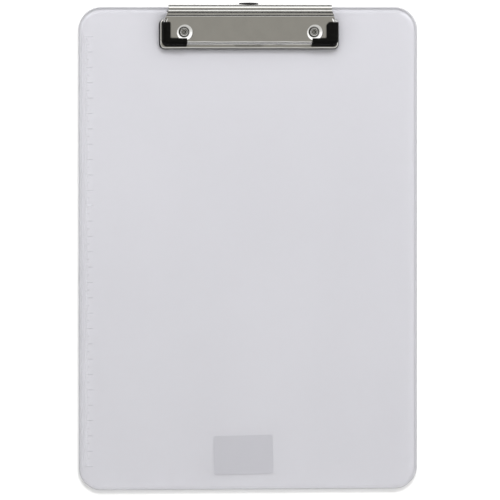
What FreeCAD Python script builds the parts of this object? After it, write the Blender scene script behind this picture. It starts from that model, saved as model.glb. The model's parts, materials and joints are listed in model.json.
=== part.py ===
import FreeCAD, Part
import math
from FreeCAD import Vector

# A letter-size clipboard with a low-profile spring clip and a pull-out hanging tab, in millimetres.
# X runs across the board, Y towards the clip end, Z out of the writing face.
# The origin is the centre of the flat back face.

# ---- board ----
BOARD_WIDTH = 222.0
BOARD_LENGTH = 315.0
BOARD_THICK = 2.5
BOARD_CORNER = 15.0
RIM_WIDTH = 1.6
RIM_STEP = 0.25
BACK_EDGE_ROUND = 0.5
RIM_EDGE_ROUND = 0.8

# ---- centimetre ruler, moulded along the left edge ----
RULER_START = 4.0
RULER_TICK_HEIGHT = 0.12
RULER_TICK_WIDTH = 0.3
RULER_LENGTHS = {1: 1.6, 5: 2.8, 10: 5.2}
RULER_FIRST_MM = 10
RULER_LAST_MM = 290
RULER_ZERO_FROM_END = 9.5

# ---- blank sticker on the back ----
LABEL_WIDTH = 39.0
LABEL_HEIGHT = 25.5
LABEL_THICK = 0.1
LABEL_POCKET = 0.15
LABEL_GLUE = 0.02
LABEL_POCKET_GAP = 0.3
LABEL_CENTRE = (-3.0, -135.0)
LABEL_TILT_DEG = 1.3
LABEL_CORNER = 1.2

# ---- clip: shared sizes; x is measured from the clip's own middle, a little right of the board's ----
CLIP_OFFSET_X = 0.4
SHEET = 0.8
FIT_GAP = 0.05
PLATE_HALF_WIDTH = 59.0
PLATE_FRONT = 129.75
PLATE_SIDE_END = 149.95
PLATE_REAR = 155.05
PLATE_REAR_HALF = 53.8
PLATE_CORNER = 3.6
BEAD_OUTER = 1.6
BEAD_ROUNDNESS = 0.97
WINDOW_CORNER = 1.0

# ---- jaw ----
JAW_HALF_WIDTH = 56.55
JAW_FRONT_LOW = 132.5
JAW_FRONT_HIGH = 134.2
JAW_CORNER = 2.4
JAW_EDGE_ROUND = 2.2
SMALLEST_ROUND = 0.3
FACE_HEIGHT = 7.0
LIP_GAP = 2.45
TAPER_START = 147.55
TAPER_END = 155.15
LEVER_HALF_WIDTH = 53.5
LEVER_START = 150.45
LEVER_OVERLAP = 0.6
FACE_LAP = 0.5
WALL_PAST_PIN = 0.3
# outer line of the lever: y, height above the face and bend radius, from the first riser to the rolled edge
LEVER_LINE = [
    (151.4, 0.0, 1.0),
    (152.15, 1.0, 0.35),
    (153.45, 1.1, 0.3),
    (154.2, 2.1, 0.3),
    (154.8, 2.15, 0.3),
    (155.4, 1.8, 0.15),
    (155.95, 2.25, 0.15),
    (156.75, 2.2, 0.4),
    (157.65, 1.78, 0.3),
    (158.4, 1.13, 0.3),
    (158.95, 0.45, 0.4),
]
LEVER_TIP = (158.95, -0.7)
LEVER_RELIEF = 0.4
CHEEK_HEEL = 151.5
CHEEK_END = 153.7
ACCESS_HOLE = 10.4
ACCESS_HOLE_Y = 140.65

# ---- hinge ----
PIN_DIAMETER = 2.0
PIN_Y = 149.45
PIN_HEIGHT = 3.95
PIN_HOLE_GAP = 0.06
PIN_OVERHANG = 0.5
PIN_CHAMFER = 0.25
EAR_RADIUS = 2.3
BASE_EAR_X = 53.3
BASE_EAR_RADIUS = 2.0

# ---- rivets ----
RIVET_X = 42.6
RIVET_Y = 141.0
RIVET_SHANK = 4.0
RIVET_HEAD = 8.0
RIVET_HEAD_THICK = 1.0
RIVET_HEAD_ROUND = 0.4
RIVET_BORE_FLOOR = 2.1
RIVET_BORE = 2.6
RIVET_CURL_OUTER = 6.0
RIVET_CURL_TUBE = 1.1
COUNTERBORE_DEPTH = 1.1
COUNTERBORE_GAP = 0.2
RIDGE_INNER = 3.2
RIDGE_CREST = 5.5
RIDGE_OUTER = 7.0
RIDGE_RISE = 0.8

# ---- torsion springs ----
WIRE = 0.9
SPRING_CORE = 2.5
SPRING_TURNS = 6
SPRING_PITCH = 1.0
SPRING_X = 28.0
SPRING_KNUCKLE = 0.93
SPRING_BASE_REACH = 5.0
SPRING_LEVER_REACH = 4.0

# ---- hanging tab and its channel ----
TAB_X = -0.3
TAB_HALF_WIDTH = 6.2
TAB_THICK = 1.2
TAB_GAP = 0.3
TAB_TIP = 160.15
TAB_TIP_RISE = 0.3
TAB_EDGE_ROUND = 0.3
TAB_END = 133.4
TAB_FOOT_HALF = 7.6
TAB_FOOT_LENGTH = 4.0
TAB_TRAVEL = 15.0
TAB_HOLE = 7.0
TAB_HOLE_FROM_TIP = 6.0

# ---- rubber corner grips ----
GRIP_THICK = 0.7
GRIP_SIDE_EXTRA = {"left": -0.3, "right": 0.75}
GRIP_BOTTOM = 1.7
GRIP_SIDE_END = 147.45
GRIP_FRONT_ARM_TOP = 137.0
GRIP_LINING = 0.9
GRIP_LINING_HEIGHT = 2.0
GRIP_ARM_WIDTH = {"left": 5.1, "right": 7.1}
GRIP_ARM_LENGTH = {"left": 16.0, "right": 16.4}
GRIP_SHOULDER = {"left": 0.4, "right": 1.8}

# heights above the back face
BOARD_FACE = BOARD_THICK
FLOOR_TOP = BOARD_FACE + SHEET
FACE_TOP = BOARD_FACE + FACE_HEIGHT
LIP_EDGE = BOARD_FACE + LIP_GAP
PIN_Z = BOARD_FACE + PIN_HEIGHT
BOARD_TOP_END = BOARD_LENGTH / 2

# how much the jaw's side walls draw in per millimetre behind the grips
SIDE_TAPER = (JAW_HALF_WIDTH - LEVER_HALF_WIDTH) / (TAPER_END - TAPER_START)

# how far a cutting block passes the material, and how close two edges count as the same or near
CUT_MARGIN = 2.0
SAME = 1e-6
NEAR = 0.01


def block(x0, x1, y0, y1, z0, z1):
    return Part.makeBox(x1 - x0, y1 - y0, z1 - z0, Vector(x0, y0, z0))


def rod_z(diameter, x, y, z0, z1):
    return Part.makeCylinder(diameter / 2, z1 - z0, Vector(x, y, z0))


def rod_x(diameter, x0, x1, y, z):
    return Part.makeCylinder(diameter / 2, x1 - x0, Vector(x0, y, z), Vector(1, 0, 0))


def plan_slab(outline, z0, z1):
    """A flat-bottomed solid over a closed plan outline."""
    corners = [Vector(x, y, z0) for x, y in outline]
    face = Part.Face(Part.makePolygon(corners + corners[:1]))
    return face.extrude(Vector(0, 0, z1 - z0))


def edges_where(shape, rule):
    return [edge for edge in shape.Edges if rule(edge)]


def is_upright(edge):
    box = edge.BoundBox
    return box.ZLength > NEAR and box.XLength < SAME and box.YLength < SAME


def lies_at_height(edge, z):
    box = edge.BoundBox
    return abs(box.ZMin - z) < SAME and abs(box.ZMax - z) < SAME


def rounded_slab(width, length, corner, z0, z1):
    """A slab with four equal rounded corners, centred on the Z axis."""
    slab = block(-width / 2, width / 2, -length / 2, length / 2, z0, z1)
    return slab.makeFillet(corner, edges_where(slab, is_upright))


def round_edges_at(shape, radius, z):
    return shape.makeFillet(radius, edges_where(shape, lambda edge: lies_at_height(edge, z)))


def mirrored(shape):
    return shape.mirror(Vector(0, 0, 0), Vector(1, 0, 0))


def on_clip_line(shape):
    shape.translate(Vector(CLIP_OFFSET_X, 0, 0))
    return shape


def rounded_path(points, radii):
    """Straight stretches in the YZ plane, joined by arcs of the given radii at the inner points."""
    spots = [Vector(0, y, z) for y, z in points]
    edges = []
    start = spots[0]
    for index, radius in enumerate(radii, start=1):
        corner = spots[index]
        to_last = (spots[index - 1] - corner).normalize()
        to_next = (spots[index + 1] - corner).normalize()
        half_angle = to_last.getAngle(to_next) / 2
        reach = radius / math.tan(half_angle)
        arc_start = corner + to_last * reach
        arc_end = corner + to_next * reach
        bisector = (to_last + to_next).normalize()
        middle = corner + bisector * (radius / math.sin(half_angle) - radius)
        edges.append(Part.makeLine(start, arc_start))
        edges.append(Part.Arc(arc_start, middle, arc_end).toShape())
        start = arc_end
    edges.append(Part.makeLine(start, spots[-1]))
    return Part.Wire(edges)


# ---------------------------------------------------------------- board

def ruler_ticks():
    """Raised marks at every millimetre, longer at 5 and 10."""
    left = -BOARD_WIDTH / 2 + RULER_START
    zero = BOARD_TOP_END - RULER_ZERO_FROM_END
    ticks = []
    for mark in range(RULER_FIRST_MM, RULER_LAST_MM + 1):
        step = 10 if mark % 10 == 0 else 5 if mark % 5 == 0 else 1
        y = zero - mark
        half = RULER_TICK_WIDTH / 2
        top = BOARD_FACE + RULER_TICK_HEIGHT
        root = BOARD_FACE - RULER_TICK_HEIGHT
        ticks.append(block(left, left + RULER_LENGTHS[step], y - half, y + half, root, top))
    return ticks


def label_slab(extra, z0, z1):
    slab = rounded_slab(LABEL_WIDTH + extra, LABEL_HEIGHT + extra, LABEL_CORNER + extra / 2, z0, z1)
    slab.rotate(Vector(0, 0, 0), Vector(0, 0, 1), LABEL_TILT_DEG)
    slab.translate(Vector(LABEL_CENTRE[0], LABEL_CENTRE[1], 0))
    return slab


def make_board():
    """Moulded plate with a raised rim, a ruler, rivet seats and a shallow seat for the sticker."""
    rim_top = BOARD_FACE + RIM_STEP
    board = rounded_slab(BOARD_WIDTH, BOARD_LENGTH, BOARD_CORNER, 0, rim_top)
    board = round_edges_at(board, BACK_EDGE_ROUND, 0)
    board = round_edges_at(board, RIM_EDGE_ROUND, rim_top)
    inner_width = BOARD_WIDTH - 2 * RIM_WIDTH
    inner_length = BOARD_LENGTH - 2 * RIM_WIDTH
    panel = rounded_slab(inner_width, inner_length, BOARD_CORNER - RIM_WIDTH, BOARD_FACE, rim_top + RIM_STEP)
    panel = panel.makeChamfer(RIM_STEP, edges_where(panel, lambda edge: lies_at_height(edge, BOARD_FACE)))
    board = board.cut(panel)
    slot = tab_channel(TAB_HALF_WIDTH + TAB_GAP, rim_top, PLATE_REAR, BOARD_TOP_END)
    board = board.cut(on_clip_line(slot))
    board = board.fuse(ruler_ticks())
    for x in (CLIP_OFFSET_X - RIVET_X, CLIP_OFFSET_X + RIVET_X):
        board = board.cut(rod_z(RIVET_SHANK + 2 * FIT_GAP, x, RIVET_Y, 0, BOARD_FACE))
        board = board.cut(rod_z(RIVET_HEAD + 2 * COUNTERBORE_GAP, x, RIVET_Y, 0, COUNTERBORE_DEPTH))
    return board.cut(label_slab(LABEL_POCKET_GAP, 0, LABEL_POCKET))


def make_back_label():
    top = LABEL_POCKET - LABEL_GLUE
    return label_slab(0, top - LABEL_THICK, top)


# ---------------------------------------------------------------- clip base

def bead_form(inset, height):
    """The rim of the base plate, an upturned bead along the front and both sides."""
    wide = PLATE_HALF_WIDTH - inset
    slab = block(-wide, wide, PLATE_FRONT + inset, PLATE_SIDE_END - inset, BOARD_FACE, BOARD_FACE + height)
    corner = PLATE_CORNER - inset
    slab = slab.makeFillet(corner, edges_where(slab, is_upright))
    return slab.makeFillet(min(height, corner) * BEAD_ROUNDNESS, edges_where(
        slab, lambda edge: lies_at_height(edge, BOARD_FACE + height)))


def make_bead():
    outer = bead_form(0, BEAD_OUTER)
    hollow = bead_form(SHEET, BEAD_OUTER - SHEET)
    inside = 2 * BEAD_OUTER
    wide = PLATE_HALF_WIDTH - inside
    window = block(-wide, wide, PLATE_FRONT + inside, PLATE_SIDE_END + CUT_MARGIN, BOARD_FACE, FACE_TOP)
    window = window.makeFillet(WINDOW_CORNER, edges_where(window, is_upright))
    behind = block(-BASE_EAR_X, BASE_EAR_X, PLATE_SIDE_END - inside, PLATE_REAR, BOARD_FACE, FACE_TOP)
    return outer.cut(hollow).cut(window).cut(behind)


def tab_channel(half_width, top, y0, y1):
    return block(TAB_X - half_width, TAB_X + half_width, y0, y1, BOARD_FACE, top)


def make_clip_base():
    """Pressed steel plate under the jaw, with a beaded rim, hinge ears and the channel for the tab."""
    inside = 2 * BEAD_OUTER - SHEET
    wide = PLATE_HALF_WIDTH - inside
    narrow = PLATE_REAR_HALF
    front = PLATE_FRONT + inside
    step = PLATE_SIDE_END - SHEET
    outline = [(-wide, front), (wide, front), (wide, step), (narrow, step),
               (narrow, PLATE_REAR), (-narrow, PLATE_REAR), (-narrow, step), (-wide, step)]
    base = plan_slab(outline, BOARD_FACE, FLOOR_TOP).fuse(make_bead()).fuse(hinge_ears())

    channel_top = BOARD_FACE + TAB_THICK + TAB_GAP
    foot_half = TAB_FOOT_HALF + TAB_GAP
    neck_half = TAB_HALF_WIDTH + TAB_GAP
    stop_y = TAB_END + TAB_FOOT_LENGTH + TAB_TRAVEL
    roof_front = PLATE_FRONT + inside
    roof = tab_channel(foot_half + SHEET, channel_top + SHEET, roof_front, PLATE_REAR)
    wide_part = tab_channel(foot_half, channel_top, roof_front, stop_y)
    narrow_part = tab_channel(neck_half, channel_top, stop_y, PLATE_REAR)
    base = base.fuse(roof.cut(wide_part).cut(narrow_part))
    base = base.cut(wide_part).cut(narrow_part)
    for x in (-RIVET_X, RIVET_X):
        base = base.fuse(seat_ridge(x, FLOOR_TOP)).cut(seat_ridge(x, BOARD_FACE))
        base = base.cut(rod_z(RIVET_SHANK + 2 * FIT_GAP, x, RIVET_Y, BOARD_FACE, FACE_TOP))
    return base.removeSplitter()


def seat_ridge(x, z):
    """A ring pressed up round a rivet, so that the rivet's rolled end sits in a shallow dish."""
    inner = Vector(x + RIDGE_INNER, RIVET_Y, z)
    crest = Vector(x + RIDGE_CREST, RIVET_Y, z + RIDGE_RISE)
    outer = Vector(x + RIDGE_OUTER, RIVET_Y, z)
    section = Part.Face(Part.makePolygon([inner, crest, outer, inner]))
    return section.revolve(Vector(x, RIVET_Y, z), Vector(0, 0, 1), 360)


def hinge_ears():
    """Two upturned ears, round at the top, that hold the hinge pin."""
    ears = []
    for side in (-1, 1):
        outer = side * BASE_EAR_X
        inner = side * (BASE_EAR_X - SHEET)
        x0 = min(outer, inner)
        x1 = max(outer, inner)
        ear = block(x0, x1, PIN_Y - BASE_EAR_RADIUS, PIN_Y + BASE_EAR_RADIUS, BOARD_FACE, PIN_Z)
        ear = ear.fuse(rod_x(2 * BASE_EAR_RADIUS, x0, x1, PIN_Y, PIN_Z))
        ears.append(ear.cut(rod_x(PIN_DIAMETER + 2 * FIT_GAP, x0, x1, PIN_Y, PIN_Z)))
    return ears


# ---------------------------------------------------------------- jaw

def jaw_form(inset, floor, rear=TAPER_END, extra_width=0.0):
    """The jaw as a solid block: sloped front, side walls that draw in behind the grips, rounded top."""
    top = FACE_TOP - inset
    slope = (JAW_FRONT_HIGH - JAW_FRONT_LOW) / (FACE_TOP - LIP_EDGE)
    half = JAW_HALF_WIDTH + extra_width - inset
    rear_half = half - SIDE_TAPER * (rear - TAPER_START)

    def outline(z):
        front = JAW_FRONT_LOW + slope * (z - LIP_EDGE) + inset
        corners = [(-half, front), (half, front), (half, TAPER_START), (rear_half, rear),
                   (-rear_half, rear), (-half, TAPER_START)]
        return Part.makePolygon([Vector(x, y, z) for x, y in corners + corners[:1]])

    form = Part.makeLoft([outline(floor), outline(top)], True, True)

    def is_front_corner(edge):
        box = edge.BoundBox
        return box.ZLength > NEAR and box.YMax < TAPER_START and box.XLength < NEAR

    form = form.makeFillet(JAW_CORNER - inset, edges_where(form, is_front_corner))

    def is_top_edge(edge):
        return lies_at_height(edge, top) and edge.BoundBox.YMin < rear - NEAR

    return form.makeFillet(max(JAW_EDGE_ROUND - inset, SMALLEST_ROUND), edges_where(form, is_top_edge))


def lever_surface():
    """Outer line of the thumb lever: two risers, a shallow groove and a rolled edge."""
    start = (LEVER_START - LEVER_OVERLAP, FACE_TOP)
    bends = [(y, FACE_TOP + height) for y, height, _ in LEVER_LINE]
    tip = (LEVER_TIP[0], FACE_TOP + LEVER_TIP[1])
    return rounded_path([start] + bends + [tip], [radius for _, _, radius in LEVER_LINE])


def taper_slab(inset, z0, z1):
    """Everything inside the jaw's drawn-in sides from just behind the face to beyond the lever's tip."""
    start = LEVER_START - 2 * LEVER_OVERLAP
    wide = JAW_HALF_WIDTH - SIDE_TAPER * (start - TAPER_START) - inset
    narrow = LEVER_HALF_WIDTH - inset
    end = LEVER_TIP[0] + CUT_MARGIN
    outline = [(-wide, start), (wide, start), (narrow, TAPER_END), (narrow, end),
               (-narrow, end), (-narrow, TAPER_END)]
    return plan_slab(outline, z0, z1)


def across_jaw(face):
    """A YZ section drawn out over the jaw's whole width."""
    solid = face.extrude(Vector(2 * JAW_HALF_WIDTH, 0, 0))
    solid.translate(Vector(-JAW_HALF_WIDTH, 0, 0))
    return solid


def lever_strip():
    sheet = lever_surface().makeOffset2D(SHEET, 0, True, True, False)
    strip = across_jaw(sheet).common(taper_slab(0, BOARD_FACE, FACE_TOP + FACE_HEIGHT))
    return strip.cut(tip_relief())


def tip_relief():
    """A shallow hollow in the lever's edge, over the hanging tab."""
    radius = (TAB_HALF_WIDTH ** 2 + LEVER_RELIEF ** 2) / (2 * LEVER_RELIEF)
    centre_y = LEVER_TIP[0] + radius - LEVER_RELIEF
    return rod_z(2 * radius, TAB_X, centre_y, BOARD_FACE, FACE_TOP + FACE_HEIGHT)


def lever_cheeks():
    """Side walls that close the gap between the hinge walls and the first riser of the lever."""
    start = LEVER_START - LEVER_OVERLAP
    foot_y = LEVER_LINE[0][0]
    step_y = LEVER_LINE[1][0]
    mid_sheet = FACE_TOP - SHEET / 2
    corners = [(start, PIN_Z), (CHEEK_HEEL, PIN_Z), (CHEEK_END, mid_sheet), (CHEEK_END, FACE_TOP + SHEET),
               (step_y, mid_sheet + SHEET), (foot_y, mid_sheet), (start, mid_sheet)]
    spots = [Vector(0, y, z) for y, z in corners]
    section = Part.Face(Part.makePolygon(spots + spots[:1]))
    outside = taper_slab(0, BOARD_FACE, FACE_TOP + FACE_HEIGHT)
    inside = taper_slab(SHEET, BOARD_FACE, FACE_TOP + FACE_HEIGHT)
    return across_jaw(section).common(outside.cut(inside))


def make_clip_jaw():
    """Pressed steel jaw: face, front lip, side walls with hinge holes, and the thumb lever."""
    floor = PIN_Z - EAR_RADIUS
    shell = jaw_form(0, floor).cut(jaw_form(SHEET, floor - CUT_MARGIN, TAPER_END + CUT_MARGIN))
    wide = JAW_HALF_WIDTH + CUT_MARGIN
    front = JAW_FRONT_LOW - CUT_MARGIN
    rear = TAPER_END + CUT_MARGIN
    face_bottom = FACE_TOP - SHEET
    ear = rod_x(2 * EAR_RADIUS, -wide, wide, PIN_Y, PIN_Z)
    below_lip = block(-wide, wide, front, rear, floor, LIP_EDGE)
    behind_pin = block(-wide, wide, PIN_Y + WALL_PAST_PIN, rear, floor, face_bottom)
    behind_face = block(-wide, wide, LEVER_START - FACE_LAP, rear, face_bottom, FACE_TOP)
    shell = shell.cut(below_lip.cut(ear)).cut(behind_pin.cut(ear)).cut(behind_face)
    jaw = shell.fuse(lever_strip()).fuse(lever_cheeks())
    for x in (-RIVET_X, RIVET_X):
        jaw = jaw.cut(rod_z(ACCESS_HOLE, x, ACCESS_HOLE_Y, FACE_TOP - 2 * SHEET, FACE_TOP))
    jaw = jaw.cut(rod_x(PIN_DIAMETER + 2 * PIN_HOLE_GAP, -wide, wide, PIN_Y, PIN_Z))
    return jaw.removeSplitter()


def make_hinge_pin():
    wall_x = JAW_HALF_WIDTH - SIDE_TAPER * (PIN_Y - TAPER_START)
    end = wall_x + PIN_OVERHANG
    pin = rod_x(PIN_DIAMETER, -end, end, PIN_Y, PIN_Z)
    return pin.makeChamfer(PIN_CHAMFER, pin.Edges[:1] + pin.Edges[-1:])


# ---------------------------------------------------------------- grips

def grip_area(side):
    """The L-shaped stretch of one front corner that the rubber covers."""
    outer = JAW_HALF_WIDTH + CUT_MARGIN
    arm = JAW_HALF_WIDTH + GRIP_THICK - GRIP_ARM_WIDTH[side]
    reach = JAW_HALF_WIDTH + GRIP_THICK - GRIP_ARM_LENGTH[side]
    front = JAW_FRONT_LOW - CUT_MARGIN
    shoulder_y = GRIP_SIDE_END - GRIP_SHOULDER[side]
    shoulder_x = arm + GRIP_SHOULDER[side]
    outline = [(reach, front), (outer, front), (outer, GRIP_SIDE_END), (shoulder_x, GRIP_SIDE_END),
               (arm, shoulder_y), (arm, GRIP_FRONT_ARM_TOP), (reach, GRIP_FRONT_ARM_TOP)]
    area = plan_slab(outline, BOARD_FACE + GRIP_BOTTOM, FACE_TOP + CUT_MARGIN)
    return area if side == "right" else mirrored(area)


def make_corner_grip(side):
    """Rubber boot: a skin outside the steel corner and a short lining inside it, joined below the edge."""
    floor = BOARD_FACE + GRIP_BOTTOM
    skin = jaw_form(-GRIP_THICK, floor, TAPER_END, GRIP_SIDE_EXTRA[side])
    core = jaw_form(SHEET + GRIP_LINING, floor - CUT_MARGIN)
    steel = jaw_form(-FIT_GAP, LIP_EDGE - FIT_GAP).cut(jaw_form(SHEET + FIT_GAP, LIP_EDGE - CUT_MARGIN))
    lining_top = LIP_EDGE + GRIP_LINING_HEIGHT
    above_lining = jaw_form(SHEET, lining_top)
    boot = skin.cut(core).cut(steel).cut(above_lining)
    boot = boot.common(grip_area(side))
    return boot.removeSplitter()


# ---------------------------------------------------------------- rivets, springs, tab

def make_rivet(x):
    """Semi-tubular rivet: a flat head in the back of the board and a rolled end on the base plate."""
    head_bottom = COUNTERBORE_DEPTH - RIVET_HEAD_THICK
    seat = COUNTERBORE_DEPTH
    curl_z = FLOOR_TOP + RIVET_CURL_TUBE / 2
    head = rod_z(RIVET_HEAD, x, RIVET_Y, head_bottom, seat)
    head = round_edges_at(head, RIVET_HEAD_ROUND, head_bottom)
    shank = rod_z(RIVET_SHANK, x, RIVET_Y, seat, curl_z)
    ring_radius = (RIVET_CURL_OUTER - RIVET_CURL_TUBE) / 2
    ring = Part.makeTorus(ring_radius, RIVET_CURL_TUBE / 2, Vector(x, RIVET_Y, curl_z))
    bore = rod_z(RIVET_BORE, x, RIVET_Y, RIVET_BORE_FLOOR, curl_z + RIVET_CURL_TUBE)
    return head.fuse(shank).fuse(ring).cut(bore)


def make_torsion_spring(side):
    """Coil on the hinge pin, wound between a leg on the base plate and a bent leg under the lever."""
    mean = (SPRING_CORE + WIRE) / 2
    length = SPRING_PITCH * (SPRING_TURNS + 0.5)
    path = Part.makeHelix(SPRING_PITCH, length, mean, 0, True).Edges[0]
    start = path.FirstParameter
    section = Part.Wire(Part.makeCircle(WIRE / 2, path.valueAt(start), path.tangentAt(start)))
    coil = Part.Wire(path).makePipeShell([section], True, True)
    coil.rotate(Vector(0, 0, 0), Vector(0, 1, 0), 90)
    coil.translate(Vector(SPRING_X, PIN_Y, PIN_Z))
    low = PIN_Z - mean
    high = PIN_Z + mean
    rest = FLOOR_TOP + WIRE / 2 + FIT_GAP
    base_leg = wire_leg(SPRING_X, low, PIN_Y + SPRING_BASE_REACH, rest)
    lever_leg = wire_leg(SPRING_X + length, high, PIN_Y + SPRING_LEVER_REACH, high)
    base_knuckle = Part.makeSphere(SPRING_KNUCKLE / 2, Vector(SPRING_X, PIN_Y, low))
    lever_knuckle = Part.makeSphere(SPRING_KNUCKLE / 2, Vector(SPRING_X + length, PIN_Y, high))
    spring = coil.fuse(base_knuckle).fuse(base_leg).fuse(lever_knuckle).fuse(lever_leg)
    return spring if side == "right" else mirrored(spring)


def wire_leg(x, start_z, end_y, end_z):
    """Straight round wire that leaves the coil level with the pin and ends in a rounded tip."""
    start = Vector(x, PIN_Y, start_z)
    end = Vector(x, end_y, end_z)
    way = end - start
    return Part.makeCylinder(WIRE / 2, way.Length, start, way).fuse(Part.makeSphere(WIRE / 2, end))


def make_hanging_tab():
    """Flat plastic slide with a hang hole near its tip and a wider foot that stops it in the channel."""
    top = BOARD_FACE + TAB_GAP / 2 + TAB_THICK
    bottom = BOARD_FACE + TAB_GAP / 2
    left = Vector(TAB_X - TAB_HALF_WIDTH, TAB_TIP - TAB_TIP_RISE, bottom)
    right = Vector(TAB_X + TAB_HALF_WIDTH, TAB_TIP - TAB_TIP_RISE, bottom)
    tip_arc = Part.Arc(left, Vector(TAB_X, TAB_TIP, bottom), right).toShape()
    shoulder = TAB_END + TAB_FOOT_LENGTH
    corners = [(TAB_HALF_WIDTH, shoulder), (TAB_FOOT_HALF, shoulder), (TAB_FOOT_HALF, TAB_END),
               (-TAB_FOOT_HALF, TAB_END), (-TAB_FOOT_HALF, shoulder), (-TAB_HALF_WIDTH, shoulder)]
    spots = [right] + [Vector(TAB_X + x, y, bottom) for x, y in corners] + [left]
    edges = [tip_arc] + [Part.makeLine(a, b) for a, b in zip(spots, spots[1:])]
    tab = Part.Face(Part.Wire(edges)).extrude(Vector(0, 0, top - bottom))
    tab = tab.cut(rod_z(TAB_HOLE, TAB_X, TAB_TIP - TAB_HOLE_FROM_TIP, bottom, top))
    return tab.makeFillet(TAB_EDGE_ROUND, edges_where(tab, is_tip_edge))


def is_tip_edge(edge):
    box = edge.BoundBox
    return box.YMax > TAB_TIP - NEAR and box.ZLength < SAME


# ---------------------------------------------------------------- all pieces

def build_all():
    return {
        "board": make_board(),
        "back_label": make_back_label(),
        "clip_base": on_clip_line(make_clip_base()),
        "clip_jaw": on_clip_line(make_clip_jaw()),
        "hinge_pin": on_clip_line(make_hinge_pin()),
        "corner_grip_left": on_clip_line(make_corner_grip("left")),
        "corner_grip_right": on_clip_line(make_corner_grip("right")),
        "rivet_left": on_clip_line(make_rivet(-RIVET_X)),
        "rivet_right": on_clip_line(make_rivet(RIVET_X)),
        "torsion_spring_left": on_clip_line(make_torsion_spring("left")),
        "torsion_spring_right": on_clip_line(make_torsion_spring("right")),
        "hanging_tab": on_clip_line(make_hanging_tab()),
    }


for node, shape in build_all().items():
    shape.exportStep(f"parts/{node}.step")
    print(node, shape.ShapeType, len(shape.Solids), round(shape.Volume, 1), shape.isValid())
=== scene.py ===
import bmesh
import bpy
import json
import math
from mathutils import Matrix, Vector


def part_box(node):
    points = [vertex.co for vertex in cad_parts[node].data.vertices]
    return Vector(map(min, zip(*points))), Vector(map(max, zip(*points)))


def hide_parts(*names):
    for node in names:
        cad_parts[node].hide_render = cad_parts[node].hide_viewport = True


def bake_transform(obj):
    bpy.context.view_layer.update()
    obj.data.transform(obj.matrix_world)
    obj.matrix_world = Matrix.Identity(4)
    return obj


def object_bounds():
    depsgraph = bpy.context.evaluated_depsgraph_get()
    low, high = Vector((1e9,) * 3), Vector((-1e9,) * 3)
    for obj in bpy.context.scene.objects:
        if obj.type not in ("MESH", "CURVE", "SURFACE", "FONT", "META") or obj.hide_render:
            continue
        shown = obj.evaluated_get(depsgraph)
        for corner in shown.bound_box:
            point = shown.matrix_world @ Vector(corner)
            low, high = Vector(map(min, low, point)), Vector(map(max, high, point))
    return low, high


# Looks for a translucent clipboard with a plated low-profile clip. Units are metres, as in the frame.

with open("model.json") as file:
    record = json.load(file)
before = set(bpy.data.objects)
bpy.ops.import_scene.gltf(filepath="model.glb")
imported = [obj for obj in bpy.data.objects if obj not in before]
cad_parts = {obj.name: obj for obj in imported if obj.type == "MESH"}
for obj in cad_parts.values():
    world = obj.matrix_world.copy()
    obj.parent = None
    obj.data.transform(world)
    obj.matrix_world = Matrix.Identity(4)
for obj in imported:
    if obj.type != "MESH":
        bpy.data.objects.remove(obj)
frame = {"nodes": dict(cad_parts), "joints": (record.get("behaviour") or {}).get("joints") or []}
cad_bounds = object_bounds()
nodes = frame["nodes"]
HINGE = next(joint["pos_m"] for joint in frame["joints"] if joint["name"] == "jaw_hinge")
BOARD_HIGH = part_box("board")[1]
MM = 0.001


# ---------------------------------------------------------------- node helpers

MIX_COLOUR_A = 6
MIX_COLOUR_B = 7
MIX_COLOUR_RESULT = 2
BEVEL_SAMPLES = 4
OPENNESS_SAMPLES = 8


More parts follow.
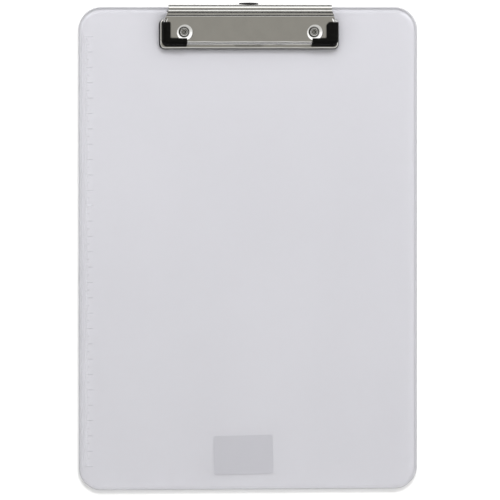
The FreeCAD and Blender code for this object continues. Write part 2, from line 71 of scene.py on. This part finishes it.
class Shader:
    """A material's node tree, with short calls for the nodes used here."""

    def __init__(self, name, world=False):
        library = bpy.data.worlds if world else bpy.data.materials
        self.owner = library.new(name)
        self.owner.use_nodes = True
        self.tree = self.owner.node_tree
        self.tree.nodes.clear()
        self.output = self.add("ShaderNodeOutputWorld" if world else "ShaderNodeOutputMaterial")
        self.position = self.add("ShaderNodeTexCoord").outputs["Generated" if world else "Object"]

    def add(self, kind, **settings):
        node = self.tree.nodes.new(kind)
        for key, value in settings.items():
            setattr(node, key, value)
        return node

    def link(self, source, target):
        if isinstance(source, bpy.types.NodeSocket):
            self.tree.links.new(source, target)
        else:
            target.default_value = source

    def noise(self, scale, detail=2.0, roughness=0.5, vector=None):
        """Noise whose features are about 1 / scale metres across."""
        node = self.add("ShaderNodeTexNoise")
        self.link(vector or self.position, node.inputs["Vector"])
        node.inputs["Scale"].default_value = scale
        node.inputs["Detail"].default_value = detail
        node.inputs["Roughness"].default_value = roughness
        return node.outputs["Fac"]

    def stretched(self, factors):
        """The position scaled along each axis, for streaks and brushing."""
        node = self.add("ShaderNodeMapping")
        self.link(self.position, node.inputs["Vector"])
        node.inputs["Scale"].default_value = factors
        return node.outputs["Vector"]

    def span(self, value, low, high, from_low=0.0, from_high=1.0):
        """A straight change from low to high while value goes from from_low to from_high."""
        node = self.add("ShaderNodeMapRange")
        self.link(value, node.inputs["Value"])
        node.inputs["From Min"].default_value = from_low
        node.inputs["From Max"].default_value = from_high
        node.inputs["To Min"].default_value = low
        node.inputs["To Max"].default_value = high
        return node.outputs["Result"]

    def ramp(self, value, low, high, from_low, from_high):
        """A smooth change from low to high while value goes from from_low to from_high."""
        result = self.span(value, low, high, from_low, from_high)
        result.node.interpolation_type = "SMOOTHSTEP"
        return result

    def parts(self, vector):
        node = self.add("ShaderNodeSeparateXYZ")
        self.link(vector, node.inputs[0])
        return node.outputs

    def math(self, operation, first, second=0.0):
        node = self.add("ShaderNodeMath", operation=operation)
        self.link(first, node.inputs[0])
        self.link(second, node.inputs[1])
        return node.outputs[0]

    def mix(self, factor, first, second):
        """A mix of two colours. Some of the node's sockets share a name, so these go by number."""
        node = self.add("ShaderNodeMix", data_type="RGBA")
        self.link(factor, node.inputs["Factor"])
        self.link(first, node.inputs[MIX_COLOUR_A])
        self.link(second, node.inputs[MIX_COLOUR_B])
        return node.outputs[MIX_COLOUR_RESULT]

    def bump(self, height, distance, strength=1.0, normal=None):
        node = self.add("ShaderNodeBump")
        node.inputs["Strength"].default_value = strength
        node.inputs["Distance"].default_value = distance
        self.link(height, node.inputs["Height"])
        if normal is not None:
            self.link(normal, node.inputs["Normal"])
        return node.outputs["Normal"]

    def soft_edges(self, radius, normal=None):
        """Shading normals that round sharp edges over a small radius."""
        node = self.add("ShaderNodeBevel", samples=BEVEL_SAMPLES)
        node.inputs["Radius"].default_value = radius
        if normal is not None:
            self.link(normal, node.inputs["Normal"])
        return node.outputs["Normal"]

    def openness(self, distance):
        """1 in the open, towards 0 in creases and under edges nearer than the distance."""
        node = self.add("ShaderNodeAmbientOcclusion", samples=OPENNESS_SAMPLES)
        node.inputs["Distance"].default_value = distance
        return node.outputs["AO"]

    def surface(self, **inputs):
        """A Principled shader; the names of its inputs are given with _ for spaces."""
        node = self.add("ShaderNodeBsdfPrincipled")
        for key, value in inputs.items():
            self.link(value, node.inputs[key.replace("_", " ")])
        return node.outputs["BSDF"]

    def blend_shaders(self, factor, first, second):
        """The first shader at factor 0, the second at 1."""
        node = self.add("ShaderNodeMixShader")
        self.link(factor, node.inputs[0])
        self.link(first, node.inputs[1])
        self.link(second, node.inputs[2])
        return node.outputs[0]

    def finish(self, shader):
        self.link(shader, self.output.inputs["Surface"])
        return self.owner


# ---------------------------------------------------------------- materials

# board: its milky body, its sheen, and the share and colour of the light that passes straight through, with
# painted shade round the clip and at the clip end
BOARD_TINT = (0.93, 0.925, 0.965, 1)
BOARD_CLOUD = (0.90, 0.895, 0.935, 1)
BOARD_SHEEN_IOR = 1.42
BOARD_CLEARNESS = 0.872
BOARD_EDGE_CLEARNESS = 0.35
SEEN_ASLANT = (0.3, 1.0)
SHEET_CLEAR = (0.985, 0.985, 1.0, 1)
SHEET_PAINTED_END_SHADE = (0.91, 0.91, 0.925, 1)
SHEET_SHADED = (0.865, 0.865, 0.88, 1)
SHADOW_REACH = 16 * MM
SHADED_OPENNESS = 0.8
FACE_ONLY_Z = (1 * MM, 2 * MM)
END_SHADE_Y = (BOARD_HIGH[1] - 5.5 * MM, BOARD_HIGH[1] - 2.3 * MM)
MARK_FOOT_Z = (BOARD_HIGH[2] - 0.21 * MM, BOARD_HIGH[2] - 0.17 * MM)
MARK_TOP_Z = (BOARD_HIGH[2] - 0.11 * MM, BOARD_HIGH[2] - 0.07 * MM)
MARK_CLEARNESS = 0.72

# plated steel: tints, how far they are dimmed by smears and by painted shade in creases and on steep sides,
# and the lip's ripple
STEEL_TINT = (0.765, 0.76, 0.74, 1)
RIVET_TINT = (0.80, 0.80, 0.79, 1)
SMEAR_DIM = 0.96
PAINTED_CREASE_SHADE_DIM = 0.12
CREASE_SHADE_REACH = 1.5 * MM
CREASE_SHADE_OPENNESS = (0.42, 0.9)
PAINTED_SIDE_SHADE_DIM = 0.04
STEEP_NORMAL_Z = (0.5, 0.94)
AWAY_NORMAL_Y = (0.0, 0.5)
PLATE_WAVE = 0.05 * MM
RIVET_WAVE = 0.02 * MM
LIP_RIPPLE = 0.9 * MM
LIP_END_Y = (HINGE[1] - 16.5 * MM, HINGE[1] - 13.5 * MM)
PLATE_SOFT_EDGE = 0.18 * MM

# pin and spring wire
PIN_TINT = (0.6, 0.6, 0.61, 1)
WIRE_TINT = (0.45, 0.45, 0.47, 1)
STAIN_DIM = 0.72

# rubber, black plastic and sticker
RUBBER_TINT = (0.0022, 0.0022, 0.0019, 1)
RUBBER_DUST = (0.009, 0.009, 0.008, 1)
RUBBER_SOFT_EDGE = 0.22 * MM
TAB_TINT = (0.006, 0.006, 0.0065, 1)
TAB_SCRATCH = (0.02, 0.02, 0.021, 1)
TAB_SOFT_EDGE = 0.15 * MM
PAPER_DARK = (0.76, 0.76, 0.77, 1)
PAPER_LIGHT = (0.81, 0.81, 0.82, 1)
PAPER_BLOTCH = (0.74, 0.74, 0.755, 1)


def dimmed(tint, factor):
    return tuple(factor * channel for channel in tint[:3]) + (1,)


def sheet_colour(s, camera_ray):
    """Colour of the light that passes through, with painted shade round the clip (camera rays only) and at
    the clip end.
    """
    _, along, height = s.parts(s.position)
    # painted shade round the clip: darker where the clip is near, for camera rays only
    painted_clip_shade = s.span(s.openness(SHADOW_REACH), 1, 0, SHADED_OPENNESS, 1.0)
    painted_clip_shade = s.math("MULTIPLY", painted_clip_shade, s.ramp(height, 0, 1, *FACE_ONLY_Z))
    painted_clip_shade = s.math("MULTIPLY", painted_clip_shade, camera_ray)
    # painted shade towards the board's clip end
    clear_with_painted_end_shade = s.mix(s.ramp(along, 0, 1, *END_SHADE_Y), SHEET_CLEAR, SHEET_PAINTED_END_SHADE)
    return s.mix(painted_clip_shade, clear_with_painted_end_shade, SHEET_SHADED)


def sheet_clearness(s, camera_ray):
    """Share of light that passes straight through: less where seen aslant and at the ruler marks."""
    height = s.parts(s.position)[2]
    facing = s.add("ShaderNodeLayerWeight")
    facing.inputs["Blend"].default_value = 0.5
    clearness = s.ramp(facing.outputs["Facing"], BOARD_CLEARNESS, BOARD_EDGE_CLEARNESS, *SEEN_ASLANT)
    mark = s.math("MULTIPLY", s.ramp(height, 0, 1, *MARK_FOOT_Z), s.ramp(height, 1, 0, *MARK_TOP_Z))
    mark = s.math("MULTIPLY", mark, camera_ray)
    return s.math("MULTIPLY", clearness, s.span(mark, 1, MARK_CLEARNESS))


def frosted_plastic():
    """Translucent moulded sheet: milky body, fine grain, faint flow marks and a dull sheen."""
    s = Shader("frosted_plastic")
    grain = s.noise(scale=2600, detail=3)
    cloud = s.noise(scale=9, detail=3)
    flow = s.noise(scale=40, detail=4, vector=s.stretched((1, 0.12, 1)))
    tint = s.mix(s.span(cloud, 0, 1, 0.35, 0.65), BOARD_CLOUD, BOARD_TINT)
    normal = s.bump(grain, distance=0.03 * MM, strength=0.5)
    normal = s.bump(flow, distance=0.15 * MM, strength=0.12, normal=normal)
    body = s.surface(Base_Color=tint, Roughness=1.0, Normal=normal, Specular_IOR_Level=0.0)
    camera_ray = s.add("ShaderNodeLightPath").outputs["Is Camera Ray"]
    clear = s.add("ShaderNodeBsdfTransparent")
    s.link(sheet_colour(s, camera_ray), clear.inputs["Color"])
    sheet = s.blend_shaders(sheet_clearness(s, camera_ray), body, clear.outputs[0])
    sheen = s.add("ShaderNodeBsdfGlossy")
    s.link(s.span(flow, 0.36, 0.5, 0.3, 0.7), sheen.inputs["Roughness"])
    s.link(normal, sheen.inputs["Normal"])
    glance = s.add("ShaderNodeFresnel")
    glance.inputs["IOR"].default_value = BOARD_SHEEN_IOR
    return s.finish(s.blend_shaders(glance.outputs[0], sheet, sheen.outputs[0]))


def plate_relief(s, waviness):
    """Shading normals of plated sheet: waves, a stronger ripple on the lip, polishing lines and pits."""
    wave = s.noise(scale=45, detail=1, vector=s.stretched((1, 1.6, 1)))
    ripple = s.noise(scale=75, detail=1, vector=s.stretched((1, 1.3, 1.3)))
    polish = s.noise(scale=900, detail=2, vector=s.stretched((0.05, 1, 1)))
    pits = s.noise(scale=3500, detail=2)
    on_lip = s.ramp(s.parts(s.position)[1], 1, 0, *LIP_END_Y)
    normal = s.bump(wave, distance=waviness, strength=0.5)
    normal = s.bump(s.math("MULTIPLY", ripple, on_lip), distance=LIP_RIPPLE, normal=normal)
    normal = s.bump(polish, distance=0.004 * MM, strength=0.35, normal=normal)
    normal = s.bump(pits, distance=0.003 * MM, strength=0.25, normal=normal)
    return s.soft_edges(PLATE_SOFT_EDGE, normal)


def painted_side_shade_mask(s):
    """Mask for painted shade: 1 on steep faces, unless they look towards the board's clip end, and 0
    elsewhere.
    """
    _, along, upward = s.parts(s.add("ShaderNodeNewGeometry").outputs["Normal"])
    return s.math("MULTIPLY", s.ramp(upward, 1, 0, *STEEP_NORMAL_Z), s.ramp(along, 1, 0, *AWAY_NORMAL_Y))


def plated_steel(name="plated_steel", tint=STEEL_TINT, waviness=PLATE_WAVE, painted_side_shade=False):
    """Bright nickel plate with faint smears, with painted shade in its creases and, if asked, on steep sides.
    """
    s = Shader(name)
    smear = s.noise(scale=120, detail=4)
    colour = s.mix(s.span(smear, 0, 1, 0.35, 0.7), tint, dimmed(tint, SMEAR_DIM))
    # painted shade: darker in creases and under nearby edges
    clear_of_painted_crease_shade = s.span(s.openness(CREASE_SHADE_REACH), 0, 1, *CREASE_SHADE_OPENNESS)
    colour = s.mix(clear_of_painted_crease_shade, dimmed(tint, PAINTED_CREASE_SHADE_DIM), colour)
    if painted_side_shade:
        # painted shade on steep sides that face away from the clip end
        colour = s.mix(painted_side_shade_mask(s), colour, dimmed(tint, PAINTED_SIDE_SHADE_DIM))
    roughness = s.span(smear, 0.06, 0.12, 0.3, 0.75)
    normal = plate_relief(s, waviness)
    return s.finish(s.surface(Base_Color=colour, Metallic=1.0, Roughness=roughness, Normal=normal))


def satin_steel(name, tint, roughness):
    """Drawn steel wire or rod with lines along its length and a dull sheen."""
    s = Shader(name)
    lines = s.noise(scale=1500, detail=3, vector=s.stretched((0.04, 1, 1)))
    stain = s.noise(scale=300, detail=3)
    normal = s.bump(lines, distance=0.006 * MM, strength=0.5)
    colour = s.mix(s.span(stain, 0, 1, 0.3, 0.7), tint, dimmed(tint, STAIN_DIM))
    rough = s.span(lines, roughness - 0.08, roughness + 0.1, 0.3, 0.7)
    return s.finish(s.surface(Base_Color=colour, Metallic=1.0, Roughness=rough, Normal=normal))


def black_rubber():
    """Moulded rubber: fine matte skin, a little dust in the grain."""
    s = Shader("black_rubber")
    skin = s.noise(scale=2200, detail=4, roughness=0.7)
    dust = s.noise(scale=500, detail=5, roughness=0.65)
    normal = s.bump(skin, distance=0.03 * MM, strength=0.55)
    normal = s.soft_edges(RUBBER_SOFT_EDGE, normal)
    colour = s.mix(s.span(dust, 0, 1, 0.5, 0.9), RUBBER_TINT, RUBBER_DUST)
    rough = s.span(skin, 0.62, 0.82, 0.3, 0.7)
    return s.finish(s.surface(Base_Color=colour, Roughness=rough, Normal=normal, Specular_IOR_Level=0.12))


def black_plastic():
    """Injection-moulded black plastic with a satin skin and light scratches from sliding."""
    s = Shader("black_plastic")
    skin = s.noise(scale=1800, detail=3)
    slides = s.noise(scale=700, detail=2, vector=s.stretched((1, 0.03, 1)))
    normal = s.bump(skin, distance=0.012 * MM, strength=0.4)
    normal = s.bump(slides, distance=0.008 * MM, strength=0.35, normal=normal)
    normal = s.soft_edges(TAB_SOFT_EDGE, normal)
    colour = s.mix(s.span(slides, 0, 1, 0.62, 0.8), TAB_TINT, TAB_SCRATCH)
    rough = s.span(slides, 0.32, 0.5, 0.3, 0.75)
    return s.finish(s.surface(Base_Color=colour, Roughness=rough, Normal=normal, Specular_IOR_Level=0.2))


def label_paper():
    """Matte sticker stock with paper fibre and faint blotches."""
    s = Shader("label_paper")
    fibre = s.noise(scale=1200, detail=5, roughness=0.7, vector=s.stretched((1, 0.35, 1)))
    blotch = s.noise(scale=120, detail=2)
    colour = s.mix(s.span(fibre, 0, 1, 0.3, 0.7), PAPER_DARK, PAPER_LIGHT)
    colour = s.mix(s.span(blotch, 0, 0.3, 0.4, 0.6), colour, PAPER_BLOTCH)
    normal = s.bump(fibre, distance=0.02 * MM, strength=0.5)
    return s.finish(s.surface(Base_Color=colour, Roughness=0.85, Normal=normal, Specular_IOR_Level=0.2))


def assign(node, material):
    """Gives a node one material, in place of what it came with."""
    slots = nodes[node].data.materials
    slots.clear()
    slots.append(material)


def dress_nodes():
    """Materials for all nodes, and a wire in place of each spring."""
    rivet = plated_steel("plated_rivet", RIVET_TINT, RIVET_WAVE)
    rubber = black_rubber()
    spring = satin_steel("spring_wire", WIRE_TINT, roughness=0.32)
    assign("board", frosted_plastic())
    assign("back_label", label_paper())
    # the base plate gets painted shade on its steep sides
    assign("clip_base", plated_steel("plated_base", painted_side_shade=True))
    assign("clip_jaw", plated_steel())
    assign("hinge_pin", satin_steel("pin_steel", PIN_TINT, roughness=0.28))
    assign("hanging_tab", black_plastic())
    for side in ("left", "right"):
        assign("rivet_" + side, rivet)
        assign("corner_grip_" + side, rubber)
        assign("torsion_spring_" + side, spring)
        spring_wire(side, spring)


# ---------------------------------------------------------------- springs

WIRE_RADIUS = 0.45 * MM
COIL_RADIUS = 1.7 * MM
COIL_TURNS = 6.5
BASE_REACH = 5.0 * MM
LEVER_REACH = 4.0 * MM
COIL_PITCH = 1.0 * MM
STEPS_PER_TURN = 28
WIRE_SIDES = 12
TIP_RINGS = 4
TIP_SMALLEST = 0.02
LEG_STEPS = 8


def add_object(name, build):
    """A new object in the scene from a bmesh, which is freed."""
    mesh = bpy.data.meshes.new(name)
    build.to_mesh(mesh)
    build.free()
    piece = bpy.data.objects.new(name, mesh)
    bpy.context.scene.collection.objects.link(piece)
    return piece


def wire_stations(path, radius):
    """For each ring of the wire: its place, the wire's direction there, and its share of full size."""
    first_way = (path[1] - path[0]).normalized()
    last_way = (path[-1] - path[-2]).normalized()
    start = []
    end = []
    for step in range(TIP_RINGS):
        angle = math.pi / 2 * step / TIP_RINGS
        start.append((path[0] - first_way * radius * math.cos(angle), first_way, math.sin(angle)))
        end.append((path[-1] + last_way * radius * math.cos(angle), last_way, math.sin(angle)))
    between = []
    for index, spot in enumerate(path):
        before = path[max(index - 1, 0)]
        after = path[min(index + 1, len(path) - 1)]
        between.append((spot, (after - before).normalized(), 1.0))
    return start + between + end[::-1]


def cover_rings(build, rings):
    """Faces between neighbouring rings, and one over each end."""
    for ring, following in zip(rings, rings[1:]):
        for corner in range(WIRE_SIDES):
            other = (corner + 1) % WIRE_SIDES
            build.faces.new((ring[corner], ring[other], following[other], following[corner]))
    build.faces.new(list(reversed(rings[0])))
    build.faces.new(rings[-1])


def tube(name, path, radius, material):
    """A round wire along a smooth path, with rounded ends."""
    build = bmesh.new()
    rings = []
    side = Vector((1, 0, 0))
    for spot, way, size in wire_stations(path, radius):
        side = (side - way * side.dot(way)).normalized()
        up = way.cross(side)
        ring = []
        for corner in range(WIRE_SIDES):
            angle = 2 * math.pi * corner / WIRE_SIDES
            offset = (side * math.cos(angle) + up * math.sin(angle)) * radius * max(size, TIP_SMALLEST)
            ring.append(build.verts.new(spot + offset))
        rings.append(ring)
    cover_rings(build, rings)
    for face in build.faces:
        face.smooth = True
    piece = add_object(name, build)
    piece.data.materials.append(material)
    return piece


def straight(start, end, steps):
    """Points along a line, without its first."""
    return [start.lerp(end, step / steps) for step in range(1, steps + 1)]


def spring_path(pin, start_x, end_x, foot_z):
    """From the foot on the base plate, round the hinge pin, to the tip under the lever."""
    foot = Vector((start_x, pin.y + BASE_REACH, foot_z))
    tip = Vector((end_x, pin.y + LEVER_REACH, pin.z + COIL_RADIUS))
    coil = []
    steps = int(COIL_TURNS * STEPS_PER_TURN)
    for step in range(steps + 1):
        turn = 2 * math.pi * COIL_TURNS * step / steps
        coil.append(Vector((start_x + (end_x - start_x) * step / steps,
                            pin.y - COIL_RADIUS * math.sin(turn),
                            pin.z - COIL_RADIUS * math.cos(turn))))
    return [foot] + straight(foot, coil[0], LEG_STEPS) + coil[1:] + straight(coil[-1], tip, LEG_STEPS)


def spring_wire(side, material):
    """One wire in place of a CAD spring, wound round the hinge pin from a foot by the base plate to a tip
    under the lever.
    """
    node = "torsion_spring_" + side
    box_low, box_high = (Vector(corner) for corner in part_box(node))
    sign = 1 if side == "right" else -1
    inner = box_low.x if side == "right" else box_high.x
    start_x = inner + sign * WIRE_RADIUS
    end_x = start_x + sign * COIL_TURNS * COIL_PITCH
    pin = Vector(HINGE)
    path = spring_path(pin, start_x, end_x, box_low.z + WIRE_RADIUS)
    piece = tube("spring_wire_" + side, path, WIRE_RADIUS, material)
    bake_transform(piece)
    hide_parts(node)


# ---------------------------------------------------------------- studio

FLOOR_HALF = 3.0
FLOOR_GAP = 0.3 * MM
FLOOR_DARK = (0.93, 0.93, 0.93, 1)
FLOOR_LIGHT = (0.95, 0.95, 0.95, 1)

KEY_PLACE = (0.1, 2.7, 2.7)
KEY_WIDTH = 2.6
KEY_HEIGHT = 1.5
KEY_POWER = 128

CEILING = (0.345, 0.334, 0.305, 1)
HORIZON = (0.025, 0.025, 0.027, 1)

# the bright ring round the ceiling: its colours, its tilts from straight up, and the stretches of
# direction (-1 to 1, along Y or X) over which it changes
RING_TOP_SIDE = (1.5, 1.5, 1.5, 1)
RING_NEAR_SIDE = (0.78, 0.78, 0.77, 1)
RING_INNER_TILT = (math.radians(20), math.radians(29))
RING_OUTER_TILT = (math.radians(70), math.radians(72))
RING_FADE = math.radians(9)
RING_LEFT_SHARE = 0.62
TILT_CHANGE_Y = (-0.9, 0.3)
LEFT_CHANGE_X = (-0.9, -0.4)
COLOUR_CHANGE_Y = (-0.7, 0.5)
SMALLEST_SINE = 0.01

# metres and degrees, except the sensor, which Blender takes in millimetres
VIEW_YAW = 6.0
VIEW_PITCH = 1.5
VIEW_DISTANCE = 5.0
VIEW_WIDTH = 0.3264
VIEW_SHIFT = (0.00131, -0.00121)
VIEW_LIMIT = 50
SENSOR_WIDTH = 36.0


def make_floor():
    """A wide white sheet just below the object."""
    build = bmesh.new()
    bmesh.ops.create_grid(build, x_segments=1, y_segments=1, size=FLOOR_HALF)
    floor = add_object("studio_floor", build)
    floor.location.z = cad_bounds[0][2] - FLOOR_GAP
    s = Shader("studio_white")
    colour = s.mix(s.noise(scale=3, detail=2), FLOOR_DARK, FLOOR_LIGHT)
    floor.data.materials.append(s.finish(s.surface(Base_Color=colour, Roughness=0.9, Specular_IOR_Level=0.0)))


def area_light(name, place, target, width, height, power):
    """A rectangular lamp at a place, facing a target."""
    data = bpy.data.lights.new(name, "AREA")
    data.shape = "RECTANGLE"
    data.size = width
    data.size_y = height
    data.energy = power
    light = bpy.data.objects.new(name, data)
    light.location = place
    aim = Vector(target) - Vector(place)
    light.rotation_euler = aim.to_track_quat("-Z", "Y").to_euler()
    bpy.context.scene.collection.objects.link(light)
    return light


def make_surroundings():
    """The studio around the object: a grey ceiling, a wide bright ring round it, and dark below that."""
    s = Shader("studio", world=True)
    x, y, z = s.parts(s.position)
    tilt = s.math("ARCCOSINE", z)
    sine = s.math("MAXIMUM", s.math("SINE", tilt), SMALLEST_SINE)
    along = s.math("DIVIDE", y, sine)
    across = s.math("DIVIDE", x, sine)
    outer = s.math("MULTIPLY", s.ramp(along, *RING_OUTER_TILT, *TILT_CHANGE_Y),
                   s.ramp(across, RING_LEFT_SHARE, 1.0, *LEFT_CHANGE_X))
    past_inner = s.ramp(tilt, 0, 1, *RING_INNER_TILT)
    to_outer = s.math("DIVIDE", s.math("SUBTRACT", outer, tilt), RING_FADE)
    ring = s.math("MULTIPLY", past_inner, s.ramp(to_outer, 0, 1, 0, 1))
    around = s.mix(past_inner, CEILING, HORIZON)
    panels = s.mix(s.ramp(along, 0, 1, *COLOUR_CHANGE_Y), RING_NEAR_SIDE, RING_TOP_SIDE)
    background = s.add("ShaderNodeBackground")
    s.link(s.mix(ring, around, panels), background.inputs["Color"])
    background.inputs["Strength"].default_value = 1.0
    bpy.context.scene.world = s.finish(background.outputs[0])


def make_lights(centre):
    """One large soft lamp beyond the clip end; reflections see the surroundings instead of it."""
    key = area_light("key_softbox", centre + Vector(KEY_PLACE), centre, KEY_WIDTH, KEY_HEIGHT, KEY_POWER)
    key.visible_glossy = False


def make_camera(centre):
    """A long lens straight above the board, a little to its left."""
    yaw = math.radians(VIEW_YAW)
    pitch = math.radians(VIEW_PITCH)
    way = Vector((-math.sin(yaw), math.sin(pitch), math.cos(yaw))).normalized()
    across = Vector((0, 1, 0)).cross(way).normalized()
    upward = way.cross(across)
    data = bpy.data.cameras.new("camera")
    data.sensor_width = SENSOR_WIDTH
    data.lens = SENSOR_WIDTH * VIEW_DISTANCE / VIEW_WIDTH
    data.clip_end = VIEW_LIMIT
    camera = bpy.data.objects.new("camera", data)
    turn = Matrix((across, upward, way)).transposed()
    aim = centre + across * VIEW_SHIFT[0] + upward * VIEW_SHIFT[1]
    camera.matrix_world = Matrix.Translation(aim + way * VIEW_DISTANCE) @ turn.to_4x4()
    bpy.context.scene.collection.objects.link(camera)
    bpy.context.scene.camera = camera


low, high = (Vector(corner) for corner in cad_bounds)
middle = (low + high) / 2
dress_nodes()
make_floor()
make_surroundings()
make_lights(middle)
make_camera(Vector((0, 0, 0)))
bpy.context.scene.view_settings.view_transform = "Standard"
